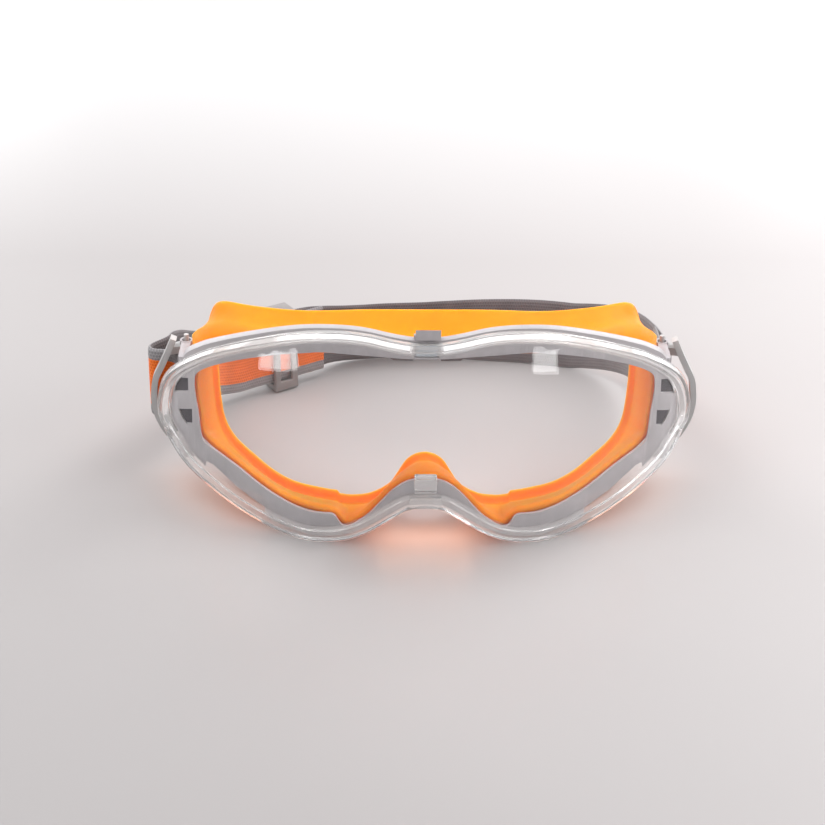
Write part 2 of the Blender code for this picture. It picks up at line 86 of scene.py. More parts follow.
SEAL_FACE = [(0, 20.6), (3.6, 18.9), (6.6, 14.4), (9.6, 8.4), (14.6, 2.7), (22.5, 0.3),
             (28.6, 0.1), (34, 0.1), (43.5, 0.6), (51.5, 3.1), (59, 7.7), (64.8, 13.1),
             (68.3, 20.0), (69.6, 30), (69.9, 40), (69.6, 50), (68.0, 58.6), (64.6, 63.4),
             (54.7, 64.8), (38, 67.0), (19, 70.1), (0, 71.0)]
SEAL_FLANGE = [1.3, 1.3, 1.3, 1.3, 1.3, 1.3, 1.3, 1.3, 1.3, 1.3, 1.3, 1.4,
               1.8, 2.2, 2.6, 4.5, 7.5, 7.0, 4.0, 2.0, 1.6, 1.6]
RAIL = [(80.9, 50.7), (82.6, 46.6), (85.1, 41.2), (87.2, 36.6), (87.9, 32.2), (88.0, 28.0),
        (87.2, 23.4), (85.4, 19.0), (83.8, 16.2)]


# --------------------------------------------------------------- small maths
def catmull(points, per):
    p = np.array(points, float)
    n = len(p)
    out = []
    for i in range(n - 1):
        p0, p1, p2, p3 = p[max(i - 1, 0)], p[i], p[i + 1], p[min(i + 2, n - 1)]
        for k in range(per):
            t = k / per
            out.append(0.5 * (2 * p1 + (p2 - p0) * t + (2 * p0 - 5 * p1 + 4 * p2 - p3) * t * t
                              + (3 * p1 - p0 - 3 * p2 + p3) * t ** 3))
    out.append(p[-1])
    return np.array(out)


def whole(half, per):
    """Closed loop from a half outline; the half is mirrored with even slopes at x = 0."""
    h = np.array(half, float)
    ext = np.vstack([[[-h[1, 0], h[1, 1]]], h, [[-h[-2, 0], h[-2, 1]]]])
    c = catmull(ext, per)[per:-per]
    c[0, 0] = c[-1, 0] = 0.0
    return np.vstack([c, np.stack([-c[-2:0:-1, 0], c[-2:0:-1, 1]], 1)])


def even(loop, n, closed=True):
    """The loop resampled at n equal steps."""
    q = np.vstack([loop, loop[:1]]) if closed else loop
    s = np.concatenate([[0], np.cumsum(np.linalg.norm(np.diff(q, axis=0), axis=1))])
    t = np.linspace(0, s[-1], n + 1)[:-1] if closed else np.linspace(0, s[-1], n)
    return np.stack([np.interp(t, s, q[:, k]) for k in range(q.shape[1])], 1)


def relax(loop, times=2):
    for _ in range(times):
        loop = 0.25 * np.roll(loop, 1, 0) + 0.5 * loop + 0.25 * np.roll(loop, -1, 0)
    return loop


def outward(loop):
    """Unit normals that point out of an anticlockwise loop."""
    t = np.roll(loop, -1, 0) - np.roll(loop, 1, 0)
    t /= np.linalg.norm(t, axis=1)[:, None] + 1e-12
    return np.stack([t[:, 1], -t[:, 0]], 1)


def smoothstep(x, a, b):
    t = np.clip((np.asarray(x, float) - a) / (b - a), 0, 1)
    return t * t * (3 - 2 * t)


def on_lens(x, z, h=0.0):
    """A point h millimetres in front of the lens's front face, in metres."""
    r = LENS_R + np.asarray(h, float)
    x = np.asarray(x, float)
    a = np.arcsin(np.clip(x / LENS_R, -1, 1))
    return np.stack([r * np.sin(a), LENS_R - r * np.cos(a) - Y_MID, np.asarray(z, float) + 0 * a], -1) * MM


def mesh_object(name, verts, faces, mat, smooth_angle=None):
    me = bpy.data.meshes.new(name)
    me.from_pydata([tuple(map(float, v)) for v in verts], [], [tuple(int(i) for i in f) for f in faces])
    me.validate()
    me.update()
    bm = bmesh.new()
    bm.from_mesh(me)
    bmesh.ops.recalc_face_normals(bm, faces=bm.faces)
    bm.to_mesh(me)
    bm.free()
    obj = bpy.data.objects.new(name, me)
    bpy.context.scene.collection.objects.link(obj)
    me.materials.append(mat)
    me.shade_smooth()
    if smooth_angle:
        me.set_sharp_from_angle(angle=math.radians(smooth_angle))
    return obj


# ----------------------------------------------------------------- materials
ORANGE_A, ORANGE_B, ORANGE_C = (0.96, 0.222, 0.004), (0.99, 0.252, 0.006), (1.0, 0.285, 0.010)


def new_mat(name):
    m = bpy.data.materials.new(name)
    m.use_nodes = True
    nt = m.node_tree
    return m, nt, nt.nodes["Principled BSDF"]


def node(nt, kind, **kw):
    n = nt.nodes.new(kind)
    for k, v in kw.items():
        setattr(n, k, v)
    return n


def noise(nt, coord, scale, detail=4.0, rough=0.5, dist=0.0):
    n = node(nt, "ShaderNodeTexNoise")
    n.inputs["Scale"].default_value = scale
    n.inputs["Detail"].default_value = detail
    n.inputs["Roughness"].default_value = rough
    n.inputs["Distortion"].default_value = dist
    nt.links.new(coord, n.inputs["Vector"])
    return n.outputs["Fac"]


def remap(nt, value, a, b, lo, hi):
    n = node(nt, "ShaderNodeMapRange")
    for key, v in (("From Min", a), ("From Max", b), ("To Min", lo), ("To Max", hi)):
        n.inputs[key].default_value = v
    nt.links.new(value, n.inputs["Value"])
    return n.outputs["Result"]


def mix_colour(nt, fac, a, b):
    n = node(nt, "ShaderNodeMix", data_type="RGBA")
    for key, v in (("A", a), ("B", b)):
        s = [i for i in n.inputs if i.name == key and i.type == "RGBA"][0]
        if isinstance(v, tuple):
            s.default_value = (*v, 1.0)
        else:
            nt.links.new(v, s)
    f = [i for i in n.inputs if i.name == "Factor" and i.type == "VALUE"][0]
    if isinstance(fac, (int, float)):
        f.default_value = fac
    else:
        nt.links.new(fac, f)
    return [o for o in n.outputs if o.type == "RGBA"][0]


def math_node(nt, op, a, b=None, c=None):
    n = node(nt, "ShaderNodeMath", operation=op)
    for i, v in enumerate((a, b, c)):
        if v is None:
            continue
        if isinstance(v, (int, float)):
            n.inputs[i].default_value = v
        else:
            nt.links.new(v, n.inputs[i])
    return n.outputs[0]


def bump(nt, bsdf, height, strength, distance):
    n = node(nt, "ShaderNodeBump")
    n.inputs["Strength"].default_value = strength
    n.inputs["Distance"].default_value = distance
    nt.links.new(height, n.inputs["Height"])
    nt.links.new(n.outputs["Normal"], bsdf.inputs["Normal"])
    return n


def object_coord(nt):
    return node(nt, "ShaderNodeTexCoord").outputs["Object"]


def plastic(name, colour, rough, grain=900.0, depth=0.00002, mottling=0.04, edge_paling=0.25):
    """Moulded plastic: fine spark-eroded grain, slight mottling, sharp edges painted paler in spots."""
    m, nt, b = new_mat(name)
    co = object_coord(nt)
    big = noise(nt, co, 60.0, 3.0)
    fine = noise(nt, co, grain, 2.0)
    dark = tuple(c * (1 - mottling * 1.6) for c in colour)
    light = tuple(min(1.0, c * (1 + mottling)) for c in colour)
    col = mix_colour(nt, remap(nt, big, 0.35, 0.65, 0, 1), dark, light)
    # sharp edges and corners are painted a little paler, in noisy spots
    geo = node(nt, "ShaderNodeNewGeometry")
    edge = remap(nt, geo.outputs["Pointiness"], 0.515, 0.60, 0.0, edge_paling)
    spots = math_node(nt, "MULTIPLY", edge, remap(nt, noise(nt, co, 420.0, 3.0), 0.35, 0.6, 0.2, 1.0))
    col = mix_colour(nt, spots, col, tuple(min(1.0, c * 1.5) for c in colour))
    nt.links.new(col, b.inputs["Base Color"])
    nt.links.new(remap(nt, fine, 0.3, 0.7, rough - 0.05, rough + 0.07), b.inputs["Roughness"])
    b.inputs["Specular IOR Level"].default_value = 0.45
    bump(nt, b, fine, 0.35, depth)
    return m


def clear_mat(name, coat, tint, through=1.0, ior=1.56):
    m, nt, b = new_mat(name)
    b.inputs["Coat Weight"].default_value = coat
    b.inputs["Coat IOR"].default_value = 1.8
    b.inputs["Coat Roughness"].default_value = 0.02
    co = object_coord(nt)
    cloud = noise(nt, co, 22.0, 3.0)
    nt.links.new(mix_colour(nt, remap(nt, cloud, 0.35, 0.65, 0, 1), tint, (1.0, 1.0, 1.0)),
                 b.inputs["Base Color"])
    b.inputs["Transmission Weight"].default_value = through
    b.inputs["IOR"].default_value = ior
    smear = noise(nt, co, 35.0, 5.0, 0.6, 0.4)
    nt.links.new(remap(nt, smear, 0.5, 0.85, 0.0, 0.04), b.inputs["Roughness"])
    ripple = noise(nt, co, 190.0, 2.0)
    bump(nt, b, ripple, 0.12, 0.00003)
    # lamps shine through it to what is behind
    clear = node(nt, "ShaderNodeBsdfTransparent")
    clear.inputs["Color"].default_value = (0.94, 0.94, 0.94, 1.0)
    mix = node(nt, "ShaderNodeMixShader")
    nt.links.new(node(nt, "ShaderNodeLightPath").outputs["Is Shadow Ray"], mix.inputs[0])
    nt.links.new(b.outputs["BSDF"], mix.inputs[1])
    nt.links.new(clear.outputs["BSDF"], mix.inputs[2])
    out = [n for n in nt.nodes if n.type == "OUTPUT_MATERIAL"][0]
    nt.links.new(mix.outputs["Shader"], out.inputs["Surface"])
    return m


def orange_mat():
    """Soft moulded elastomer: matt skin, light that soaks in, faint flow marks."""
    m, nt, b = new_mat("orange_elastomer")
    co = object_coord(nt)
    big = noise(nt, co, 28.0, 3.0)
    flow = noise(nt, co, 120.0, 4.0, 0.55, 0.8)
    fine = noise(nt, co, 1400.0, 2.0)
    col = mix_colour(nt, remap(nt, big, 0.3, 0.7, 0, 1), ORANGE_A, ORANGE_B)
    col = mix_colour(nt, remap(nt, flow, 0.5, 0.75, 0.0, 0.35), col, ORANGE_C)
    nt.links.new(col, b.inputs["Base Color"])
    b.inputs["Subsurface Weight"].default_value = 0.85
    b.inputs["Subsurface Radius"].default_value = (1.0, 0.40, 0.06)
    b.inputs["Subsurface Scale"].default_value = 0.010
    nt.links.new(remap(nt, fine, 0.3, 0.7, 0.42, 0.56), b.inputs["Roughness"])
    b.inputs["Specular IOR Level"].default_value = 0.12
    bump(nt, b, fine, 0.25, 0.00002)
    return m


def webbing_mat(name, outside):
    """Narrow woven elastic. UV: u along the webbing in millimetres, v across it."""
    m, nt, b = new_mat(name)
    uv = node(nt, "ShaderNodeUVMap")
    uv.uv_map = "weave"
    sep = node(nt, "ShaderNodeSeparateXYZ")
    nt.links.new(uv.outputs["UV"], sep.inputs["Vector"])
    u, v = sep.outputs["X"], sep.outputs["Y"]
    # ribs across the webbing every 0.9 mm, cords along it every 1.1 mm
    rib = math_node(nt, "SINE", math_node(nt, "MULTIPLY", u, 2 * math.pi / 0.9))
    shift = math_node(nt, "MULTIPLY", math_node(nt, "ROUND", math_node(nt, "DIVIDE", v, 1.1)), math.pi)
    rib2 = math_node(nt, "SINE", math_node(nt, "ADD", math_node(nt, "MULTIPLY", u, 2 * math.pi / 0.9), shift))
    cord = math_node(nt, "ABSOLUTE", math_node(nt, "SINE", math_node(nt, "MULTIPLY", v, math.pi / 1.1)))
    weave = math_node(nt, "ADD", math_node(nt, "MULTIPLY", rib2, 0.45), math_node(nt, "MULTIPLY", cord, 0.9))
    co = object_coord(nt)
    fuzz = noise(nt, co, 2600.0, 3.0)
    big = noise(nt, co, 140.0, 3.0)
    height = math_node(nt, "ADD", weave, math_node(nt, "MULTIPLY", fuzz, 0.5))
    grey_d, grey_l = (0.118, 0.102, 0.105), (0.212, 0.188, 0.191)
    shade = remap(nt, weave, -0.4, 1.3, 0.0, 1.0)
    grey = mix_colour(nt, shade, grey_d, grey_l)
    if outside:
        orange = mix_colour(nt, shade, (0.70, 0.112, 0.010), (1.0, 0.218, 0.026))
        half = math_node(nt, "ABSOLUTE", math_node(nt, "SUBTRACT", v, STRAP_W / 2))
        wobble = math_node(nt, "MULTIPLY", rib, 0.10)
        stripe = remap(nt, math_node(nt, "ADD", half, wobble), 8.3, 8.5, 1.0, 0.0)
        lit = mix_colour(nt, stripe, mix_colour(nt, shade, (0.20, 0.19, 0.195), (0.34, 0.325, 0.33)), orange)
        colour = lit
    else:
        colour = grey
    tint = remap(nt, big, 0.3, 0.7, 0.88, 1.08)
    hsv = node(nt, "ShaderNodeHueSaturation")
    nt.links.new(colour, hsv.inputs["Color"])
    nt.links.new(tint, hsv.inputs["Value"])
    nt.links.new(hsv.outputs["Color"], b.inputs["Base Color"])
    nt.links.new(remap(nt, fuzz, 0.3, 0.7, 0.72, 0.92), b.inputs["Roughness"])
    b.inputs["Specular IOR Level"].default_value = 0.25
    b.inputs["Sheen Weight"].default_value = 0.22
    b.inputs["Sheen Roughness"].default_value = 0.4
    bump(nt, b, height, 0.6, 0.00016)
    return m


# The rim material keeps a 12% pale cream diffuse share and the brow-facet material 36%: a painted highlight on the
# clear plastic, standing in for the bright reflections along the brow. The window material is fully clear.
CLEAR = clear_mat("clear_polycarbonate_rim_painted_sheen", 0.9, (1.0, 0.965, 0.945), 0.88)
RIDGE_HIGHLIGHT = clear_mat("clear_polycarbonate_ridge_painted_highlight", 0.5, (0.985, 0.915, 0.870), 0.64)
WINDOW = clear_mat("clear_polycarbonate_window", 0.0, (0.965, 0.975, 0.98), 1.0, 1.42)
GREY = plastic("frame_grey_plastic", (0.408, 0.382, 0.392), 0.38)
CLIP_GREY = plastic("clip_grey_plastic", (0.455, 0.445, 0.440), 0.52, grain=1100.0)
# the slider's grey is darkened well below the clip grey: painted shade, as it sits in the strap's shadow
SLIDER_SHADED_GREY = plastic("slider_grey_plastic_painted_shade", (0.255, 0.235, 0.230), 0.5)
# near-black vent material: painted shadow for the deep shade inside the vents
VENT_SHADOW = plastic("vent_painted_shadow_dark", (0.016, 0.010, 0.020), 0.75)
RIB_GREY = plastic("tab_rib_blue_grey", (0.32, 0.36, 0.41), 0.34)
ORANGE = orange_mat()
WEB_OUT = webbing_mat("webbing_outer_face", True)
WEB_IN = webbing_mat("webbing_inner_face", False)


def thread_mat():
    m, nt, b = new_mat("grey_sewing_thread")
    co = object_coord(nt)
    twist = noise(nt, co, 3000.0, 2.0)
    nt.links.new(mix_colour(nt, remap(nt, twist, 0.3, 0.7, 0, 1), (0.30, 0.29, 0.30), (0.52, 0.51, 0.52)),
                 b.inputs["Base Color"])
    nt.links.new(remap(nt, twist, 0.3, 0.7, 0.5, 0.7), b.inputs["Roughness"])
    bump(nt, b, twist, 0.5, 0.00005)
    return m


THREAD = thread_mat()

# ---------------------------------------------------------------------- lens
lens_loop = relax(even(whole(LENS_OUT, 16), 900), 6)
lens_loop[:, 1] = np.maximum(lens_loop[:, 1], 0.0)
lens_n = relax(outward(lens_loop), 10)
lens_n /= np.linalg.norm(lens_n, axis=1)[:, None]

# rim section, from the outer edge inwards: (distance, height) brow and bottom
BROW = [(0.0, -1.6), (0.0, -0.30), (0.05, -0.10), (0.16, 0.0), (0.32, 0.02), (0.40, 0.10), (0.46, 0.20),
        (1.22, 1.46), (1.30, 1.58), (1.40, 1.62), (1.50, 1.50), (1.56, 1.00), (1.66, 0.66), (1.86, 0.58),
        (2.04, 0.66), (2.20, 0.94), (2.40, 1.04), (2.68, 0.98), (2.88, 0.50), (3.10, 0.10), (3.60, 0.0)]
LOW = [(0.0, -1.6), (0.0, 0.12), (0.08, 0.40), (0.24, 0.62), (0.46, 0.69), (0.78, 0.66), (0.98, 0.50),
       (1.10, 0.28), (1.24, 0.12), (1.60, 0.06), (2.40, 0.05), (3.00, 0.06), (3.16, 0.16), (3.28, 0.36),
       (3.46, 0.50), (3.68, 0.50), (3.84, 0.36), (3.94, 0.16), (4.08, 0.05), (4.40, 0.0), (5.00, 0.0)]
zz = lens_loop[:, 1]
xx = np.abs(lens_loop[:, 0])
brow = smoothstep(zz, 17.5, 25.0)
narrow = 1.0 + 0.12 * (1 - smoothstep(zz, 34.0, 56.0))
ends = smoothstep(xx, 3.9, 4.7) + (zz < 40)
ends = np.clip(ends, 0, 1)
rows, heights = [], []
for (db, hb), (dl, hl) in zip(BROW, LOW):
    d = dl + (db * narrow - dl) * brow
    h = hl + (hb - hl) * brow
    h = np.where(h > 0, h * ends, h)
    rows.append(lens_loop - lens_n * d[:, None])
    heights.append(h)
inner = rows[-1]
n = len(lens_loop)
verts, faces = [], []


def add_ring(points):
    start = len(verts)
    verts.extend(points)
    return start


starts = [add_ring(on_lens(r[:, 0], r[:, 1], h)) for r, h in zip(rows, heights)]
back_rows = [rows[2], rows[5], rows[9], rows[14], rows[-1]]
back_starts = [add_ring(on_lens(lens_loop[:, 0], lens_loop[:, 1], -1.85 + 0 * zz)),
               add_ring(on_lens((lens_loop - lens_n * 0.15)[:, 0], (lens_loop - lens_n * 0.15)[:, 1], -LENS_T))]
back_starts += [add_ring(on_lens(r[:, 0], r[:, 1], -LENS_T)) for r in back_rows[1:]]


def bridge(a, b):
    for i in range(n):
        j = (i + 1) % n
        faces.append((a + i, a + j, b + j, b + i))


for a, b in zip(starts, starts[1:]):
    bridge(a, b)
chain = [starts[0]] + back_starts
for a, b in zip(chain, chain[1:]):
    bridge(b, a)
# the window: the same net of points on both faces
pts = [Vector(p) for p in inner]
gx, gz = np.meshgrid(np.arange(-84, 84.1, 2.0), np.arange(2, 74, 2.0))
cand = np.stack([gx.ravel(), gz.ravel()], 1)


def inside(poly, q):
    x, y = q[:, 0], q[:, 1]
    c = np.zeros(len(q), bool)
    a = poly
    b = np.roll(poly, -1, 0)
    for (x0, y0), (x1, y1) in zip(a, b):
        hit = ((y0 > y) != (y1 > y)) & (x < (x1 - x0) * (y - y0) / (y1 - y0 + 1e-15) + x0)
        c ^= hit
    return c


cand = cand[inside(inner, cand)]
gap = np.min(np.linalg.norm(cand[:, None, :] - inner[None, ::3, :], axis=2), axis=1)
cand = cand[gap > 1.1]
rim_faces = len(faces)
all2 = pts + [Vector(p) for p in cand]
out_v, _, out_f, orig, _, _ = delaunay_2d_cdt(all2, [], [list(range(n))], 1, 1e-7)
remap_front, remap_back = [], []
for v, src in zip(out_v, orig):
    first = src[0] if src else -1
    if 0 <= first < n:
        remap_front.append(starts[-1] + first)
        remap_back.append(back_starts[-1] + first)
    else:
        remap_front.append(len(verts))
        verts.append(on_lens(v[0], v[1], 0.0))
        remap_back.append(len(verts))
        verts.append(on_lens(v[0], v[1], -LENS_T))
for f in out_f:
    faces.append(tuple(remap_front[i] for i in f))
    faces.append(tuple(remap_back[i] for i in reversed(f)))
lens = mesh_object("clear_lens", [np.asarray(v).reshape(3) for v in verts], faces, CLEAR, 50)
lens.data.materials.append(WINDOW)
lens.data.materials.append(RIDGE_HIGHLIGHT)
# the brow's outer edge, main facet and second ridge top take the paler painted-highlight material; the grooves keep
# the rim material
rim_slots = np.zeros(rim_faces, int)
for i in (0, 5, 6, 7, 8, 15, 16):
    rim_slots[i * n:(i + 1) * n] = np.where(brow > 0.5, 2, 0)
lens.data.polygons.foreach_set("material_index", list(map(int, rim_slots)) + [1] * (len(faces) - rim_faces))


def rounded_box(name, lo, hi, radius, mat, segments=3):
    bm = bmesh.new()
    bmesh.ops.create_cube(bm, size=1.0)
    size = [(b - a) * MM for a, b in zip(lo, hi)]
    mid = Vector([(a + b) * 0.5 * MM for a, b in zip(lo, hi)]) - Vector((0, Y_MID * MM, 0))
    bmesh.ops.transform(bm, matrix=Matrix.Translation(mid) @ Matrix.Diagonal((*size, 1.0)), verts=bm.verts)
    bmesh.ops.bevel(bm, geom=list(bm.edges), offset=radius * MM, segments=segments, profile=0.5,
                    affect="EDGES")
    me = bpy.data.meshes.new(name)
    bm.to_mesh(me)
    bm.free()
    obj = bpy.data.objects.new(name, me)
    bpy.context.scene.collection.objects.link(obj)
    me.materials.append(mat)
    me.shade_smooth()
    me.set_sharp_from_angle(angle=math.radians(40))
    return obj


hook = rounded_box("lens_nose_hook", (-3.5, -3.4, 22.3), (3.5, 1.0, 27.4), 0.55, CLEAR)
bridge_block = rounded_box("lens_nose_block", (-5.05, -1.0, 15.6), (5.05, 0.6, 19.6), 0.35, CLEAR)


# --------------------------------------------------------------------- frame
def prism(name, loops, y0, y1):
    """Front outline with holes, as a closed solid between two depths."""
    cu = bpy.data.curves.new(name, "CURVE")
    cu.dimensions = "2D"
    cu.fill_mode = "BOTH"
    cu.extrude = (y1 - y0) * 0.5 * MM
    for loop in loops:
        sp = cu.splines.new("POLY")
        sp.points.add(len(loop) - 1)
        for q, p in zip(sp.points, loop):
            q.co = (p[0] * MM, p[1] * MM, 0, 1)
        sp.use_cyclic_u = True
    tmp = bpy.data.objects.new(name, cu)
    bpy.context.scene.collection.objects.link(tmp)
    mat = Matrix(((1, 0, 0, 0), (0, 0, -1, ((y0 + y1) * 0.5 - Y_MID) * MM), (0, 1, 0, 0), (0, 0, 0, 1)))
    me = bpy.data.meshes.new_from_object(tmp)
    me.transform(mat)
    bpy.data.objects.remove(tmp, do_unlink=True)
    bm = bmesh.new()
    bm.from_mesh(me)
    bmesh.ops.remove_doubles(bm, verts=bm.verts, dist=1e-7)
    bmesh.ops.recalc_face_normals(bm, faces=bm.faces)
    bm.to_mesh(me)
    bm.free()
    obj = bpy.data.objects.new(name, me)
    bpy.context.scene.collection.objects.link(obj)
    return obj


def plan_solid(name, loop, z0, z1):
    bm = bmesh.new()
    lo = [bm.verts.new((p[0] * MM, (p[1] - Y_MID) * MM, z0 * MM)) for p in loop]
    hi = [bm.verts.new((p[0] * MM, (p[1] - Y_MID) * MM, z1 * MM)) for p in loop]
    k = len(loop)
    for i in range(k):
        j = (i + 1) % k
        bm.faces.new((lo[i], lo[j], hi[j], hi[i]))
    bm.faces.new(lo[::-1])
    bm.faces.new(hi)
    bmesh.ops.recalc_face_normals(bm, faces=bm.faces)
    me = bpy.data.meshes.new(name)
    bm.to_mesh(me)
    bm.free()
    obj = bpy.data.objects.new(name, me)
    bpy.context.scene.collection.objects.link(obj)
    return obj


def combine(obj, other, how):
    mod = obj.modifiers.new("cut", "BOOLEAN")
    mod.operation = how
    mod.solver = "EXACT"
    mod.object = other
    bpy.context.view_layer.update()
    dg = bpy.context.evaluated_depsgraph_get()
    me = bpy.data.meshes.new_from_object(obj.evaluated_get(dg))
    obj.modifiers.clear()
    obj.data = me
    bpy.data.objects.remove(other, do_unlink=True)
    return obj


def arc_band(name, r_in, r_out, z0, z1, steps=180, half_angle=58.0):
    a = np.radians(np.linspace(-half_angle, half_angle, steps + 1))
    outer = np.stack([r_out * np.sin(a), LENS_R - r_out * np.cos(a)], 1)
    innr = np.stack([r_in * np.sin(a), LENS_R - r_in * np.cos(a)], 1)
    return plan_solid(name, np.vstack([outer, innr[::-1]]), z0, z1)


def outline(loop, amount):
    """The loop moved sideways along its own normals; amount > 0 is outwards."""
    q = relax(outward(loop), 6)
    q /= np.linalg.norm(q, axis=1)[:, None]
    return loop + q * np.asarray(amount)[:, None]


def soften(obj, width, segments=3, angle=34):
    """Moulded corners: a small rounded bevel on every sharp edge."""
    me = obj.data
    bm = bmesh.new()
    bm.from_mesh(me)
    bmesh.ops.remove_doubles(bm, verts=bm.verts, dist=4e-6)
    bmesh.ops.dissolve_degenerate(bm, dist=4e-6, edges=bm.edges)
    bmesh.ops.dissolve_limit(bm, angle_limit=0.006, verts=bm.verts, edges=bm.edges)
    bmesh.ops.recalc_face_normals(bm, faces=bm.faces)
    bm.to_mesh(me)
    bm.free()
    mod = obj.modifiers.new("soften", "BEVEL")
    mod.width = width * MM
    mod.segments = segments
    mod.limit_method = "ANGLE"
    mod.angle_limit = math.radians(angle)
    mod.miter_outer = "MITER_ARC"
    mod.use_clamp_overlap = True
    bpy.context.view_layer.update()
    me = bpy.data.meshes.new_from_object(obj.evaluated_get(bpy.context.evaluated_depsgraph_get()))
    obj.modifiers.clear()
    obj.data = me
    me.shade_smooth()
    me.set_sharp_from_angle(angle=math.radians(38))
    return obj


def block(name, lo, hi):
    bm = bmesh.new()
    bmesh.ops.create_cube(bm, size=1.0)
    size = [(b - a) * MM for a, b in zip(lo, hi)]
    mid = Vector([(a + b) * 0.5 * MM for a, b in zip(lo, hi)]) - Vector((0, Y_MID * MM, 0))
    bmesh.ops.transform(bm, matrix=Matrix.Translation(mid) @ Matrix.Diagonal((*size, 1.0)), verts=bm.verts)
    me = bpy.data.meshes.new(name)
    bm.to_mesh(me)
    bm.free()
    obj = bpy.data.objects.new(name, me)
    bpy.context.scene.collection.objects.link(obj)
    return obj


def rod(name, x, y, z0, z1, r, sides=40):
    a = np.linspace(0, 2 * math.pi, sides, endpoint=False)
    return plan_solid(name, [(x + r * math.cos(t), y + r * math.sin(t)) for t in a], z0, z1)


def paint(obj, name, mat):
    obj.name = name
    obj.data.name = name
    obj.data.materials.clear()
    obj.data.materials.append(mat)
    return obj


ref = relax(even(whole(LENS_OUT, 16), 460), 4)
ref[:, 1] = np.maximum(ref[:, 1], 0.0)
rx, rz = np.abs(ref[:, 0]), ref[:, 1]
temple = 3.9 * np.clip((rx - 74.0) / 5.0, 0, 1)
edge_amount = -1.0 - temple + (1.35 + temple) * smoothstep(rz, 39.0, 55.0)
ring_out = relax(outline(ref, edge_amount), 2)
ring_in = relax(even(whole(FRAME_IN, 14), 460), 3)
vent_shadow_sheets = []
ring = combine(arc_band("ring", R_FACE, R_BACK, -5, 85, 181), prism("ring_outline", [ring_out, ring_in], -20, 75),
               "INTERSECT")
step_outline = prism("step", [outline(ring_in, np.full(len(ring_in), 1.35))], -20, 75)
ring = combine(ring, combine(arc_band("step_band", R_FACE - 2, R_BACK - 1.0, -6, 86, 173, 59.3), step_outline, "INTERSECT"),
               "DIFFERENCE")
for s in (-1, 1):
    upper = [(74.2, 38.7), (79.0, 36.1), (78.6, 39.6), (77.0, 42.4), (74.1, 43.8)]
    lower = [(73.3, 27.6), (75.4, 26.6), (76.6, 27.9), (77.9, 30.6), (73.2, 33.2)]
    # a thin near-black sheet just behind each vent window: painted shadow standing in for the shade inside the vent
    for tag, w in (("upper", upper), ("lower", lower)):
        cx, cz = (sum(c) / len(w) for c in zip(*w))
        grown = [(cx + (x - cx) * 1.14, cz + (z - cz) * 1.14) for x, z in w]
        vent_shadow_sheets.append(combine(arc_band("vent_shadow_sheet", R_BACK - 1.15, R_BACK - 0.75, 20, 50, 360),
                               prism("vent_shadow_outline", [[(s * x, z) for x, z in grown][::s]], -20, 75),
                               "INTERSECT"))
        paint(vent_shadow_sheets[-1], "frame_vent_recess_%s_%s" % (tag, "left" if s > 0 else "right"), VENT_SHADOW)
    for w in (upper, lower):
        ring = combine(ring, prism("vent", [[(s * x, z) for x, z in w][::s]], -20, 75), "DIFFERENCE")
    cut = [(35.5, -4.0), (84.0, -4.0), (92.0, 8.0), (82.0, 14.0), (76.4, 17.6), (74.7, 17.2),
           (72.0, 15.5), (69.6, 14.2), (68.9, 16.5), (66.8, 16.3), (61.9, 13.5), (58.6, 11.3),
           (55.4, 9.8), (51.5, 7.9), (50.2, 7.2), (50.2, 5.0), (48.3, 3.5), (44.1, 2.6),
           (40.0, 1.9), (36.8, 1.4)]
    ring = combine(ring, prism("cheek_cut", [[(s * x, z) for x, z in cut][::s]], -20, 75), "DIFFERENCE")
for s in (-1, 1):
    for z0, z1, foot, reach in ((47.5, 48.9, (37.0, 42.4, 45.6, 49.0), 1.5),
                                (14.0, 16.4, (35.6, 42.4, 13.9, 22.0), 3.9)):
        x0, x1 = sorted((s * (BAR_X - reach), s * (BAR_X + min(reach, 1.9))))
        eye = rod("eye", s * BAR_X, BAR_Y, z0 - 0.1, z1 + 0.1, 2.1)
        eye = combine(eye, block("arm", (x0, foot[0] + 1.0, z0), (x1, BAR_Y + 0.03, z1)), "UNION")
        eye = combine(eye, rod("hole", s * BAR_X, BAR_Y, z0 - 2, z1 + 2, 1.42), "DIFFERENCE")
        eye = combine(eye, block("foot", (x0 - 0.1, foot[0], foot[2]), (x1 + 0.1, foot[1], foot[3])), "UNION")
        ring = combine(ring, eye, "UNION")
ring = combine(ring, block("tab_recess", (-3.7, -4.0, 66.6), (3.7, 3.0, 71.2)), "DIFFERENCE")
tab = block("tab", (-3.35, 1.2, 72.5), (4.15, 4.8, 75.95))
for v in tab.data.vertices:
    if v.co.z > 0.074 and v.co.y > (3.0 - Y_MID) * MM:
        v.co.z -= 0.0022
tab = combine(tab, block("tab_web", (-3.9, 3.1, 67.7), (3.9, 4.4, 73.3)), "UNION")
ring = combine(ring, tab, "UNION")
ring = combine(ring, arc_band("tab_clear", R_BACK + 0.012, R_BACK + 12, -7, 72.4, 97, 60.1), "DIFFERENCE")
shell = paint(soften(ring, 0.22), "grey_frame_shell", GREY)
# three moulded ribs between the brow beams
ribs = [rounded_box("frame_tab_rib_%d" % (i + 1), (-3.2, 2.33, z), (3.2, 3.6, z + 0.95), 0.3, RIB_GREY)
        for i, z in enumerate((67.0, 68.35, 69.7))]

# ----------------------------------------------------------------- face seal
SEAL_N = 720
seal_front = whole(SEAL_FRONT, 40)
seal_face = whole(SEAL_FACE, 40)
half_n = len(SEAL_FLANGE) - 1
flange_key = np.concatenate([SEAL_FLANGE, SEAL_FLANGE[-2:0:-1]])
# matching stations: the two loops share their parameter
pick = np.arange(SEAL_N) * (len(seal_front) / SEAL_N)
station = pick / 40.0


def at(loop, t):
    i = np.floor(t).astype(int)
    f = (t - i)
    m = len(loop)
    if loop.ndim > 1:
        f = f[:, None]
    return loop[i % m] * (1 - f) + loop[(i + 1) % m] * f


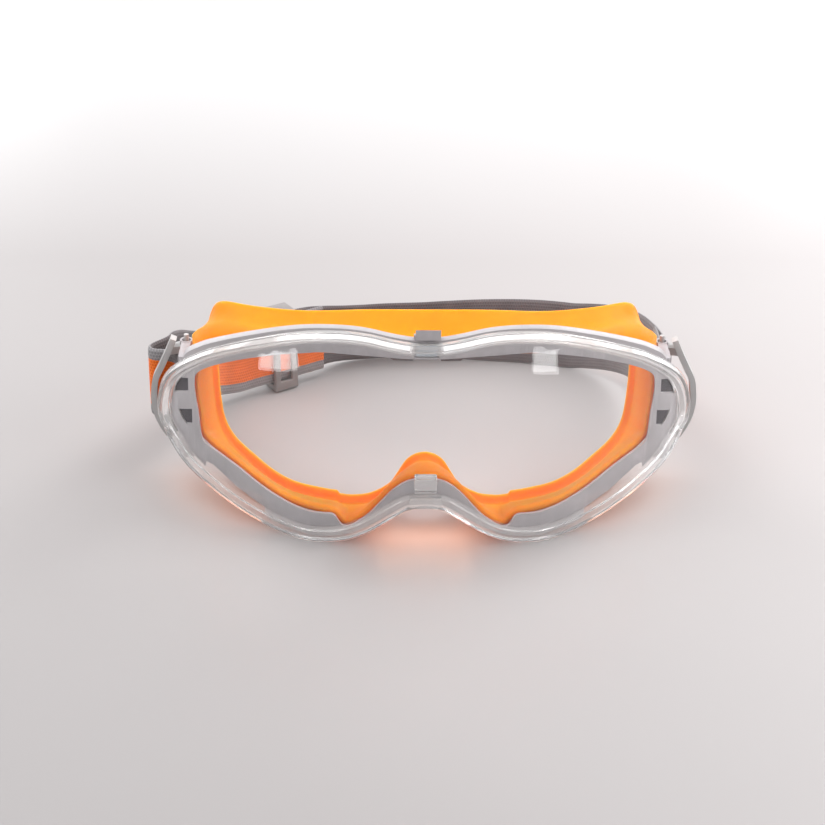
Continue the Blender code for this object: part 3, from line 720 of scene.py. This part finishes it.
seal_front = relax(at(seal_front, pick), 6)
seal_face = relax(at(seal_face, pick), 8)
seal_face[:, 1] = np.maximum(seal_face[:, 1], 0.02)
flange = at(flange_key, station)
flange = 0.25 * np.roll(flange, 9) + 0.5 * flange + 0.25 * np.roll(flange, -9)
fn = relax(outward(seal_front), 6)
fn /= np.linalg.norm(fn, axis=1)[:, None]
gn = relax(outward(seal_face), 6)
gn /= np.linalg.norm(gn, axis=1)[:, None]
low_x = np.abs(seal_face[:, 0])
low_w = np.where(low_x > 27.6, 4.7, 3.7)
low_w = 0.25 * np.roll(low_w, 1) + 0.5 * low_w + 0.25 * np.roll(low_w, -1)
low_w = 2.0 + (low_w - 2.0) * smoothstep(low_x, 7.0, 14.0)
low_w = low_w + (3.6 - low_w) * smoothstep(low_x, 56.0, 68.0)
lip = low_w + (3.6 - low_w) * smoothstep(seal_face[:, 1], 14.0, 26.0)


def face_y(p):
    saddle = np.clip(1 - np.abs(p[:, 0]) / 15.0, 0, 1) * (p[:, 1] < 40)
    return 26.0 + p[:, 0] ** 2 / 190.0 - 4.0 * saddle ** 2 * (3 - 2 * saddle)


R_SEAL = R_FACE - FIT
base_y = face_y(seal_face)


def front_point(off, back=0.0):
    p = seal_front + fn * np.broadcast_to(np.asarray(off, float), (SEAL_N,))[:, None]
    y = LENS_R - np.sqrt(R_SEAL ** 2 - p[:, 0] ** 2) + back
    return np.stack([p[:, 0], y, p[:, 1]], 1)


def face_point(off, back):
    p = seal_face + gn * np.broadcast_to(np.asarray(off, float), (SEAL_N,))[:, None]
    return np.stack([p[:, 0], base_y + back, np.maximum(p[:, 1], 0.02)], 1)


fo0, fi0 = front_point(1.2), front_point(-1.0)
toward = fi0 - fo0
toward /= np.linalg.norm(toward, axis=1)[:, None]
flare = front_point(flange, 0.0)
flare[:, 0] = np.clip(flare[:, 0], -74.1, 74.1)
corner = smoothstep(seal_front[:, 1], 44.5, 49.0) * smoothstep(np.abs(seal_front[:, 0]), 46.0, 60.0)
flare[:, 1] = fo0[:, 1] + 4.5 + 6.0 * corner
soft_flare = fo0 * 0.45 + flare * 0.55 + toward * 0.0
soft_flare[:, 1] = fo0[:, 1] + 1.7 + 2.0 * corner
base_out = face_point(0.0, -2.4)
base_in = face_point(-lip * 0.48, -2.6)
wall_in = fi0 * 0.5 + base_in * 0.5 + toward * 0.9


def between(a, b, t, push):
    return a * (1 - t) + b * t + toward * push


sect = [front_point(-0.55, -1.25), front_point(0.85, -1.25), front_point(1.05, -1.0),
        front_point(1.1, 0.0), front_point(1.2, 0.35), soft_flare, flare,
        between(flare, base_out, 0.22, 0.45), between(flare, base_out, 0.45, 0.75),
        between(flare, base_out, 0.68, 0.62), between(flare, base_out, 0.88, 0.25), base_out,
        face_point(0.22, -1.7), face_point(0.32, -0.9), face_point(0.16, -0.25), face_point(-0.3, 0.12),
        face_point(-lip * 0.35, 0.34), face_point(-lip * 0.7, 0.52), face_point(-lip * 0.93, 0.50),
        face_point(-lip * 1.02, 0.22), face_point(-lip * 1.0, -0.22), face_point(-lip * 0.86, -0.62),
        face_point(-lip * 0.66, -1.1), face_point(-lip * 0.52, -1.8), base_in,
        between(base_in, wall_in, 0.25, 0.05), between(base_in, wall_in, 0.6, 0.12), wall_in,
        between(wall_in, fi0, 0.35, 0.12), between(wall_in, fi0, 0.7, 0.08), front_point(-1.0, 0.35), front_point(-0.85, -0.9)]
sv, sf = [], []
for r in sect:
    sv.extend((r - np.array([0, Y_MID, 0])) * MM)
k = len(sect)
for j in range(k):
    a, b = j * SEAL_N, ((j + 1) % k) * SEAL_N
    for i in range(SEAL_N):
        i2 = (i + 1) % SEAL_N
        sf.append((a + i, b + i, b + i2, a + i2))
seal = mesh_object("orange_face_seal", sv, sf, ORANGE)


# ----------------------------------------------------------------- webbing
def arc_length(plan):
    return np.concatenate([[0], np.cumsum(np.linalg.norm(np.diff(plan, axis=0), axis=1))])


def web(name, plan, z_low, stitches=(), lean=((0, 0), (1, 0))):
    """Woven strip on edge. plan: (x, y) mid line, z_low: height of its lower edge at each point.
    The orange face lies to the left of the way the plan runs. stitches: thread rows as lists of
    (distance along, height, side)."""
    n0 = len(plan)
    q = np.hstack([np.array(plan, float), np.array(z_low, float)[:, None]])
    total = arc_length(q[:, :2])[-1]
    s0 = arc_length(q[:, :2])
    m = max(12, int(total / 0.75))
    t_ = np.linspace(0, total, m)
    q = np.stack([np.interp(t_, s0, q[:, k]) for k in range(3)], 1)
    for _ in range(2):
        q[1:-1] = 0.25 * q[:-2] + 0.5 * q[1:-1] + 0.25 * q[2:]
    plan, z0 = q[:, :2], q[:, 2]
    s = arc_length(plan)
    t = np.gradient(plan, axis=0)
    t /= np.linalg.norm(t, axis=1)[:, None]
    left = np.stack([-t[:, 1], t[:, 0]], 1)
    tilt = np.tan(np.radians(np.interp(s / s[-1], [a for a, _ in lean], [b for _, b in lean])))
    for _ in range(12):
        tilt[1:-1] = 0.25 * tilt[:-2] + 0.5 * tilt[1:-1] + 0.25 * tilt[2:]
    # section across the webbing: outer face row by row, round edge, inner face
    rows_v = np.array([0.0, 0.25, 0.9, 2.6, 3.9, 4.3, 8, 12.2, 16.4, 20.1, 20.5, 21.8, 23.5, 24.15, 24.4])
    prof = np.array([0.15, 0.45, 0.68, 0.74, 0.72, 0.70, 0.75, 0.75, 0.75, 0.70, 0.72, 0.74, 0.68, 0.45, 0.15])
    ring_v, ring_h = np.concatenate([rows_v, rows_v[::-1]]), np.concatenate([prof, -prof[::-1]])
    kk = len(ring_v)
    vs = np.zeros((m, kk, 3))
    for j in range(kk):
        off = left * ring_h[j]
        off = off + left * ((ring_v[j] - 15.0) * tilt)[:, None]
        vs[:, j, 0] = plan[:, 0] + off[:, 0]
        vs[:, j, 1] = plan[:, 1] + off[:, 1] - Y_MID
        vs[:, j, 2] = z0 + ring_v[j]
    vs = [tuple(map(float, v)) for v in (vs * MM).reshape(-1, 3)]
    fs, mats, uvs = [], [], []
    for i in range(m - 1):
        for j in range(kk):
            j2 = (j + 1) % kk
            fs.append((i * kk + j, i * kk + j2, (i + 1) * kk + j2, (i + 1) * kk + j))
            mats.append(0 if j < len(rows_v) else 1)
            uvs.extend(((s[i], ring_v[j]), (s[i], ring_v[j2]), (s[i + 1], ring_v[j2]), (s[i + 1], ring_v[j])))
    for i in (0, m - 1):
        fs.append(tuple(i * kk + j for j in range(kk)))
        mats.append(1)
        uvs.extend((s[i], ring_v[j]) for j in range(kk))
    # thread: short plump stitches that lie half sunk in the weave
    for a, b in stitches:
        pa, pb = [], []
        for (d, h, side), out in ((a, pa), (b, pb)):
            x = np.interp(d, s, plan[:, 0]) + side * 0.80 * np.interp(d, s, left[:, 0])
            y = np.interp(d, s, plan[:, 1]) + side * 0.80 * np.interp(d, s, left[:, 1])
            out.extend((x, y - Y_MID, np.interp(d, s, z0) + h))
        pa, pb = np.array(pa), np.array(pb)
        ax = pb - pa
        ln = np.linalg.norm(ax)
        ax /= ln
        up = np.cross(ax, [0.3, 0.5, 0.8])
        up /= np.linalg.norm(up)
        sd = np.cross(ax, up)
        start = len(vs)
        for f, r in ((0.0, 0.06), (0.12, 0.17), (0.5, 0.21), (0.88, 0.17), (1.0, 0.06)):
            for c in range(6):
                w = c * math.pi / 3
                vs.append(tuple(map(float, (pa + ax * ln * f + (up * math.cos(w) + sd * math.sin(w)) * r) * MM)))
        for i in range(4):
            for c in range(6):
                fs.append((start + i * 6 + c, start + i * 6 + (c + 1) % 6, start + i * 6 + 6 + (c + 1) % 6,
                           start + i * 6 + 6 + c))
                mats.append(2)
                uvs.extend([(0, 0)] * 4)
        for i in (0, 4):
            fs.append(tuple(start + i * 6 + c for c in range(6)))
            mats.append(2)
            uvs.extend([(0, 0)] * 6)
    me = bpy.data.meshes.new(name)
    me.from_pydata(vs, [], fs)
    layer = me.uv_layers.new(name="weave")
    layer.data.foreach_set("uv", [float(c) for a in uvs for c in a])
    for mat in (WEB_OUT, WEB_IN, THREAD):
        me.materials.append(mat)
    me.polygons.foreach_set("material_index", mats)
    me.update()
    bm = bmesh.new()
    bm.from_mesh(me)
    bmesh.ops.recalc_face_normals(bm, faces=bm.faces)
    bm.to_mesh(me)
    bm.free()
    me.shade_smooth()
    me.set_sharp_from_angle(angle=math.radians(60))
    obj = bpy.data.objects.new(name, me)
    bpy.context.scene.collection.objects.link(obj)
    return obj


def ease(t):
    t = np.clip(t, 0.0, 1.0)
    return t * t * (3 - 2 * t)


def descent(t):
    t = np.clip(t, 0.0, 1.0)
    return 0.5 * ease(t) + 0.25 * t + 0.25 * np.sin(t * math.pi / 2)


SD = np.array([math.cos(SLIDER_DIR), math.sin(SLIDER_DIR)])
SN = np.array([SD[1], -SD[0]])
SC = SLIDER_AT
main_path = catmull([(-82.95, 63.7), (-81.2, 72), (-79.2, 82), (-76.2, 92), (-72.2, 98.2)]
                    + [tuple(SC + SD * s - SN * LAYER) for s in (-16, -6, 4, 14)]
                    + [(-29.5, 127.6), (-20, 131.0), (-8, 132.6), (8, 133.4), (24, 133.6), (40, 132.6),
                       (55, 129.2), (66, 122.6), (72.6, 112), (75.2, 100), (76.6, 88), (77.8, 76),
                       (78.6, 66), (79.0, 60.4)], 8)
mt = arc_length(main_path)
mt = mt / mt[-1]
main_z = np.where(mt < 0.42, STRAP_Z + (WEB_LOW - STRAP_Z) * descent(mt / 0.17) - WEB_LOW * ease((mt - 0.27) / 0.13),
                  STRAP_Z * (0.4 * ease((mt - 0.69) / 0.31) + 0.6 * np.clip((mt - 0.69) / 0.31, 0, 1)))
tail_path = catmull([(-75.6, 62.4), (-74.9, 72), (-74.0, 82), (-71.6, 90.5), (-67.6, 97.4)]
                    + [tuple(SC + SD * s + SN * LAYER) for s in (-14, -5, 4, 13, 16.5)], 8)
tt = arc_length(tail_path)
tt = tt / tt[-1]
tail_z = STRAP_Z + (WEB_LOW - STRAP_Z) * descent(tt / 0.58)
loop_right = catmull([(-82.95, 63.7), (-83.2, 62.0), (-84.9, 59.6), (-87.2, 57.2), (-88.9, 54.8), (-88.5, 52.4),
                      (-86.6, 51.5), (-84.4, 51.4), (-82.0, 50.9), (-80.0, 49.4), (-79.0, 47.5),
                      (-77.4, 46.6), (-75.5, 46.9), (-74.3, 48.6), (-74.1, 51.2), (-74.5, 54.4),
                      (-75.2, 58.2), (-75.6, 61.8), (-75.6, 62.4)], 8)
loop_left = catmull([(79.0, 60.4), (79.0, 59.8), (79.3, 55.6), (79.4, 52.2), (79.3, 49.6), (78.6, 47.5),
                     (77.1, 46.6), (75.4, 46.9), (74.3, 48.7), (74.1, 51.2), (74.8, 54.2), (76.6, 57.4),
                     (77.15, 59.8), (77.1, 64), (76.75, 69.5)], 8)
# the adjustable end: folded tail, round the clip's bars, and back out to the slider
mid_slider = int(np.argmin(np.linalg.norm(main_path - (SC - SN * LAYER), axis=1)))
adj = np.vstack([tail_path[::-1], loop_right[::-1][1:], main_path[1:mid_slider + 1]])
adj_z = np.concatenate([tail_z[::-1], np.full(len(loop_right) - 1, STRAP_Z), main_z[1:mid_slider + 1]])
band_adj = web("headband_adjustable_half", adj, adj_z)
# the long way round the head to the sewn end
fixed = np.vstack([main_path[mid_slider:], loop_left[1:]])
fixed_z = np.concatenate([main_z[mid_slider:], np.full(len(loop_left) - 1, STRAP_Z)])
run = float(arc_length(main_path[mid_slider:])[-1])
sewn = []


def stitch_row(a, b, pitch=1.5):
    a, b = np.array(a, float), np.array(b, float)
    k = max(2, int(np.linalg.norm(b - a) / pitch))
    for i in range(k):
        p, q = a + (b - a) * (i + 0.12) / k, a + (b - a) * (i + 0.88) / k
        sewn.append(((p[0], p[1], 1), (q[0], q[1], 1)))


x_a, x_b = run - 8.4, run - 0.8
for row in (((x_a, 2.2), (x_b, 2.2)), ((x_b, 2.2), (x_b, 22.2)), ((x_b, 22.2), (x_a, 22.2)),
            ((x_a, 22.2), (x_a, 2.2)), ((x_a, 2.2), (x_b, 22.2)), ((x_a, 22.2), (x_b, 2.2))):
    stitch_row(*row)
band_fixed = web("headband_sewn_half", fixed, fixed_z, sewn,
                 lean=((0, 0), (0.055, 0), (0.11, -13), (0.24, -14), (0.34, 0), (0.43, 6), (0.55, 7), (0.66, 6), (0.8, 0),
                       (1, 0)))


# --------------------------------------------------------------- strap clips
def ribbon(path, width):
    t = np.gradient(path, axis=0)
    t /= np.linalg.norm(t, axis=1)[:, None]
    nrm = np.stack([t[:, 1], -t[:, 0]], 1) * width * 0.5
    return np.vstack([path + nrm, (path - nrm)[::-1]])


def clip_solid(name, s):
    rail = ribbon(catmull(RAIL, 8), 1.95)
    rail[:, 0] -= 0.6
    rail[:, 0] *= s
    body = prism(name, [rail[::s]], 45.7, 49.2)
    for z0, z1 in ((45.2, 47.8), (16.8, 19.4)):
        plan = [(BAR_X - 1.5, BAR_Y - 1.5), (BAR_X - 1.5, BAR_Y + 1.5), (BAR_X + 1.5, BAR_Y + 1.8),
                (82.0 if z0 > 40 else 84.2, 48.9), (82.0 if z0 > 40 else 84.2, 46.0)]
        body = combine(body, plan_solid("bridge", [(s * x, y) for x, y in plan][::s], z0, z1), "UNION")
    bar = rod("bar", s * BAR_X, BAR_Y, 13.2, 50.9, 1.15)
    for v in bar.data.vertices:
        if v.co.z > 0.05:
            v.co.x += (s * BAR_X * MM - v.co.x) * 0.32
            v.co.y += ((BAR_Y - Y_MID) * MM - v.co.y) * 0.32
    body = combine(body, bar, "UNION")
    return paint(soften(body, 0.42, 4, 40), name, CLIP_GREY)


clip_r = clip_solid("clip_bracket_right", -1)
clip_l = clip_solid("clip_bracket_left", 1)


# -------------------------------------------------------------------- slider
def along(name, s0, s1, n0, n1, z0, z1):
    pts = [SC + SD * s + SN * q for s, q in ((s0, n0), (s1, n0), (s1, n1), (s0, n1))]
    return plan_solid(name, pts, z0, z1)


reach = LAYER + STRAP_T * 0.5 + 0.45
slider = along("slider", -4.6, 4.6, -reach - 1.5, reach + 1.5, SLIDER_Z0, SLIDER_Z0 + SLIDER_H)
for n0, n1 in ((-reach, -0.38), (0.38, reach)):
    slider = combine(slider, along("slot", -8, 8, n0, n1, SLIDER_Z0 + 2.1, SLIDER_Z0 + SLIDER_H - 2.1), "DIFFERENCE")
for n0, n1 in ((reach - 1, reach + 3), (-reach - 3, -reach + 1)):
    slider = combine(slider, along("window", -2.3, 2.3, n0, n1, SLIDER_Z0 + 3.4, SLIDER_Z0 + SLIDER_H - 3.4),
                     "DIFFERENCE")
slider = paint(soften(slider, 0.3, 3, 40), "strap_slider_buckle", SLIDER_SHADED_GREY)

# ---------------------------------------------------------------- who rides on
for piece, body, nodes_, slot_ in (
        (lens, "lens", ("lens",), "lens"), (hook, "lens", (), "lens"), (bridge_block, "lens", (), "lens"),
        (shell, "frame", ("frame",), "frame"), (ribs[0], "frame", (), "frame"), (ribs[1], "frame", (), "frame"),
        (ribs[2], "frame", (), "frame"), *[(o, "frame", (), "frame") for o in vent_shadow_sheets],
        (seal, "frame", ("face_seal",), "face_seal"),
        (clip_r, "strap_clip_right", ("strap_clip_right",), "clip"),
        (clip_l, "strap_clip_left", ("strap_clip_left",), "clip"),
        (slider, "strap_slider", ("strap_slider",), "slider")):
    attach(piece, body)
    if nodes_:
        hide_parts(*nodes_)
for piece, side, nodes_ in ((band_adj, "right", ("headband_tail", "headband_loop_right")),
                            (band_fixed, "left", ("headband", "headband_loop_left"))):
    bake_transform(piece)
    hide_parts(*nodes_)

# --------------------------------------------------------------------- stage
def stage_mat(name, colour, rough):
    m, nt, b = new_mat(name)
    co = object_coord(nt)
    cloud = noise(nt, co, 3.0, 3.0)
    sep = node(nt, "ShaderNodeSeparateXYZ")
    nt.links.new(co, sep.inputs["Vector"])
    # painted light on the floor: darker to the left, paler to the right
    across = math_node(nt, "ADD", sep.outputs["X"], math_node(nt, "MULTIPLY", sep.outputs["Y"], 0.25))
    col = mix_colour(nt, remap(nt, across, -0.16, 0.14, 0, 1), tuple(c * 0.84 for c in colour),
                     tuple(c * 1.06 for c in colour))
    # painted shade towards the front, painted light towards the back
    near = remap(nt, sep.outputs["Y"], -0.22, 0.0, 0.12, 0.0)
    col = mix_colour(nt, near, col, (0.0, 0.0, 0.0))
    far = remap(nt, sep.outputs["Y"], 0.16, 0.40, 0.0, 0.45)
    col = mix_colour(nt, far, col, (0.86, 0.86, 0.86))
    nt.links.new(mix_colour(nt, remap(nt, cloud, 0.3, 0.7, 0, 0.03), col, (1.0, 1.0, 1.0)), b.inputs["Base Color"])
    b.inputs["Roughness"].default_value = rough
    b.inputs["Specular IOR Level"].default_value = 0.4
    return m


def slab(name, lo, hi, mat):
    bm = bmesh.new()
    bmesh.ops.create_cube(bm, size=1.0)
    size = [b - a for a, b in zip(lo, hi)]
    mid = Vector([(a + b) * 0.5 for a, b in zip(lo, hi)])
    bmesh.ops.transform(bm, matrix=Matrix.Translation(mid) @ Matrix.Diagonal((*size, 1.0)), verts=bm.verts)
    me = bpy.data.meshes.new(name)
    bm.to_mesh(me)
    bm.free()
    o = bpy.data.objects.new(name, me)
    bpy.context.scene.collection.objects.link(o)
    me.materials.append(mat)
    return o


floor = slab("floor", (-3, -2.2, -0.02), (3, 4.0, -0.0002), stage_mat("floor_pale", (0.412, 0.388, 0.385), 0.38))

# ---------------------------------------------------------------- light, camera
world = bpy.data.worlds.new("studio")
bpy.context.scene.world = world
world.use_nodes = True
bg = world.node_tree.nodes["Background"]
bg.inputs["Color"].default_value = (0.97, 0.975, 1.0, 1)
bg.inputs["Strength"].default_value = 0.62


def softbox(name, at_, look, size, power, colour=(1, 1, 1)):
    li = bpy.data.lights.new(name, "AREA")
    li.shape = "RECTANGLE"
    li.size, li.size_y = size
    li.energy = power
    li.color = colour
    o = bpy.data.objects.new(name, li)
    bpy.context.scene.collection.objects.link(o)
    o.location = at_
    o.rotation_euler = (Vector(look) - Vector(at_)).to_track_quat("-Z", "Y").to_euler()
    return o


softbox("top_box", (0.0, 0.05, 0.85), (0, 0.05, 0.02), (1.0, 0.38), 5.3)
softbox("top_left_box", (-0.51, 0.26, 0.72), (0, 0, 0.03), (0.35, 0.35), 1.5)
softbox("top_right_box", (0.51, 0.26, 0.72), (0, 0, 0.03), (0.35, 0.35), 1.8)
softbox("back_left_box", (-0.62, 0.62, 0.62), (0, 0, 0.03), (0.35, 0.45), 1.4)
softbox("back_right_box", (0.66, 0.62, 0.62), (0, 0, 0.03), (0.35, 0.45), 3.0)
softbox("back_card_left", (-0.60, 0.80, 0.16), (-0.03, 0, 0.05), (0.75, 0.30), 1.7)
softbox("back_card_right", (0.60, 0.80, 0.16), (0.03, 0, 0.05), (0.75, 0.30), 2.0)
softbox("front_left_box", (-0.8, -0.55, 0.55), (0, 0, 0.03), (0.45, 0.5), 2.0)
softbox("front_right_box", (0.85, -0.5, 0.55), (0, 0, 0.03), (0.45, 0.5), 3.0)
# light that comes through the soft orange skirt and falls in front of it
softbox("nose_glow", (0.0, -0.0570, 0.0090), (0, -0.0578, 0), (0.030, 0.010), 0.0036, (1.0, 0.59, 0.43))
softbox("cheek_glow_right", (-0.066, -0.030, 0.010), (-0.068, -0.032, 0), (0.050, 0.012), 0.0024, (1.0, 0.58, 0.42))
softbox("cheek_glow_left", (0.066, -0.030, 0.010), (0.068, -0.032, 0), (0.050, 0.012), 0.0018, (1.0, 0.58, 0.42))
# two small lamps low at the sides, seen only as pale patches in the lens
for tag, at_, turn, size, watts in (("left", (-0.1378, -0.1234, 0.003), -51.7, (0.042, 0.0150), 0.013),
                                    ("right", (0.1190, -0.1439, 0.003), 42.7, (0.027, 0.0180), 0.010)):
    lamp = softbox("patch_" + tag, at_, (0, 0, 1), size, watts)
    lamp.rotation_euler = (Matrix.Rotation(math.radians(turn), 3, "Z")
                           @ Matrix.Rotation(math.pi, 3, "X")).to_euler()
    lamp.visible_camera = False

cam_data = bpy.data.cameras.new("camera")
cam = bpy.data.objects.new("camera", cam_data)
bpy.context.scene.collection.objects.link(cam)
bpy.context.scene.camera = cam
EL, YAW, ROLL = math.radians(28.0), math.radians(0.6313), math.radians(0.4385)
look = Vector((math.sin(YAW) * math.cos(EL), math.cos(YAW) * math.cos(EL), -math.sin(EL)))
side0 = Vector((math.cos(YAW), -math.sin(YAW), 0.0))
up0 = side0.cross(look)
side = side0 * math.cos(ROLL) + up0 * math.sin(ROLL)
up = up0 * math.cos(ROLL) - side0 * math.sin(ROLL)
cam.matrix_world = Matrix(((side.x, up.x, -look.x, -0.010568), (side.y, up.y, -look.y, -0.644162),
                           (side.z, up.z, -look.z, 0.356682), (0, 0, 0, 1)))
cam_data.sensor_width = 36.0
cam_data.lens = 2173.0 / 825.0 * 36.0
cam_data.clip_start = 0.01
bpy.context.scene.view_settings.view_transform = "Standard"
